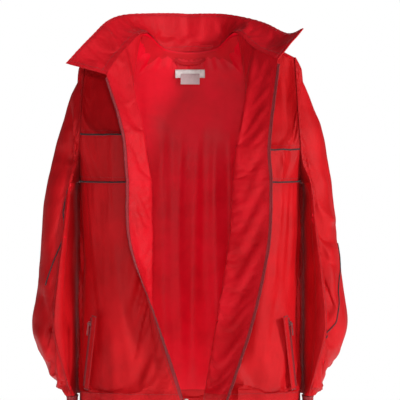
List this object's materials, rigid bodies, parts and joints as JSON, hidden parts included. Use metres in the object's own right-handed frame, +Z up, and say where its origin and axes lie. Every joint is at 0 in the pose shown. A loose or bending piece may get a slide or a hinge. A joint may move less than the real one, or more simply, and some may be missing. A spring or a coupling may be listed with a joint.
{
  "type": "foul weather jacket",
  "caption": "Red nylon sailing jacket hung by its shoulders with its front open: stand collar, dark piping, satin lining, gathered sleeves and slanting zip pockets.",
  "frame": {"origin": "the hanger seat: middle of the shoulder plane, level with the neck seam at the nape", "axes": "+Z up, -Y out of the open front, +X to the right of someone who faces the jacket"},
  "size_m": [0.656, 0.2524, 0.8329],
  "materials": {
    "outer_nylon": "plain woven nylon taffeta, soft sheen",
    "satin_lining": "satin woven polyester lining",
    "piping_cord": "near black woven piping",
    "zip_tape": "knitted zip tape with moulded coil",
    "zip_metal": "die cast, tumbled",
    "woven_label": "blank woven satin label",
    "cuff_nylon": "elasticated nylon"
  },
  "bodies": {
    "torso": {"back_hem": "outer_nylon", "back_lining": "satin_lining", "back_neck_facing": "outer_nylon", "back_panel": "outer_nylon", "back_piping": "piping_cord", "back_yoke": "outer_nylon", "back_yoke_lining": "satin_lining", "collar_lining": "outer_nylon", "collar_shell": "outer_nylon", "left_chest_band": "outer_nylon", "left_front_yoke": "outer_nylon", "left_lower_chest_piping": "piping_cord", "left_upper_chest_piping": "piping_cord", "left_upper_facing": "outer_nylon", "left_upper_lining": "satin_lining", "left_upper_zip_tape": "zip_tape", "neck_label": "woven_label", "right_chest_band": "outer_nylon", "right_front_yoke": "outer_nylon", "right_lower_chest_piping": "piping_cord", "right_upper_chest_piping": "piping_cord", "right_upper_facing": "outer_nylon", "right_upper_lining": "satin_lining", "right_upper_zip_tape": "zip_tape"},
    "care_label": {"care_label": "woven_label"},
    "hang_loop": {"hang_loop": "outer_nylon"},
    "left_sleeve": {"left_cuff": "cuff_nylon", "left_sleeve_lining": "satin_lining", "left_sleeve_piping": "piping_cord", "left_top_sleeve": "outer_nylon", "left_under_sleeve": "outer_nylon"},
    "left_front": {"left_front_hem": "outer_nylon", "left_front_panel": "outer_nylon", "left_lower_facing": "outer_nylon", "left_lower_lining": "satin_lining", "left_lower_zip_tape": "zip_tape", "left_pocket_bag": "satin_lining", "left_pocket_welt": "outer_nylon", "left_pocket_zip_chain": "zip_tape", "zip_box": "zip_metal"},
    "left_pocket_pull": {"left_pocket_pull": "zip_metal"},
    "left_pocket_slider": {"left_pocket_slider": "zip_metal"},
    "right_sleeve": {"right_cuff": "cuff_nylon", "right_sleeve_lining": "satin_lining", "right_sleeve_piping": "piping_cord", "right_top_sleeve": "outer_nylon", "right_under_sleeve": "outer_nylon"},
    "right_front": {"right_front_hem": "outer_nylon", "right_front_panel": "outer_nylon", "right_lower_facing": "outer_nylon", "right_lower_lining": "satin_lining", "right_lower_zip_tape": "zip_tape", "right_pocket_bag": "satin_lining", "right_pocket_welt": "outer_nylon", "right_pocket_zip_chain": "zip_tape", "zip_pin": "zip_metal"},
    "right_pocket_pull": {"right_pocket_pull": "zip_metal"},
    "right_pocket_slider": {"right_pocket_slider": "zip_metal"},
    "zip_pull": {"zip_pull": "zip_metal"},
    "zip_slider": {"zip_slider": "zip_metal"}
  },
  "joints": [
    {"name": "left_front_swing", "type": "hinge", "parent": "torso", "child": "left_front", "pos_m": [-0.225, 0, -0.48], "axis": [0, 0, 1], "range_deg": [-15, 8]},
    {"name": "left_sleeve_lift", "type": "hinge", "parent": "torso", "child": "left_sleeve", "pos_m": [-0.216, 0, -0.02], "axis": [0, 1, 0], "range_deg": [0, 20]},
    {"name": "right_front_swing", "type": "hinge", "parent": "torso", "child": "right_front", "pos_m": [0.225, 0, -0.48], "axis": [0, 0, -1], "range_deg": [-15, 8]},
    {"name": "right_sleeve_lift", "type": "hinge", "parent": "torso", "child": "right_sleeve", "pos_m": [0.216, 0, -0.02], "axis": [0, -1, 0], "range_deg": [0, 20]},
    {"name": "left_pocket_slide", "type": "slide", "parent": "left_front", "child": "left_pocket_slider", "axis": [-0.1139, 0.1215, -0.986], "range_m": [0, 0.11]},
    {"name": "left_pocket_pull_turn", "type": "hinge", "parent": "left_pocket_slider", "child": "left_pocket_pull", "pos_m": [-0.20351, -0.08822, -0.55387], "axis": [-0.6791, 0.7149, 0.1666], "range_deg": [0, 150]},
    {"name": "right_pocket_slide", "type": "slide", "parent": "right_front", "child": "right_pocket_slider", "axis": [0.1115, 0.124, -0.986], "range_m": [0, 0.11]},
    {"name": "right_pocket_pull_turn", "type": "hinge", "parent": "right_pocket_slider", "child": "right_pocket_pull", "pos_m": [0.20411, -0.08829, -0.55385], "axis": [-0.6553, -0.7368, -0.1668], "range_deg": [0, 150]},
    {"name": "zip_slide", "type": "slide", "parent": "left_front", "child": "zip_slider", "axis": [0.0134, -0.0633, 0.9979], "range_m": [0, 0.018]},
    {"name": "zip_pull_turn", "type": "hinge", "parent": "zip_slider", "child": "zip_pull", "pos_m": [-0.00582, -0.12562, -0.70958], "axis": [-0.9783, -0.2071, 0], "range_deg": [0, 150]},
    {"name": "hang_loop_turn", "type": "hinge", "parent": "torso", "child": "hang_loop", "pos_m": [0, 0.061, -0.012], "axis": [-1, 0, 0], "range_deg": [0, 150]},
    {"name": "care_label_turn", "type": "hinge", "parent": "torso", "child": "care_label", "pos_m": [0, 0.0623, -0.0454], "axis": [-1, 0, 0], "range_deg": [0, 150]}
  ]
}
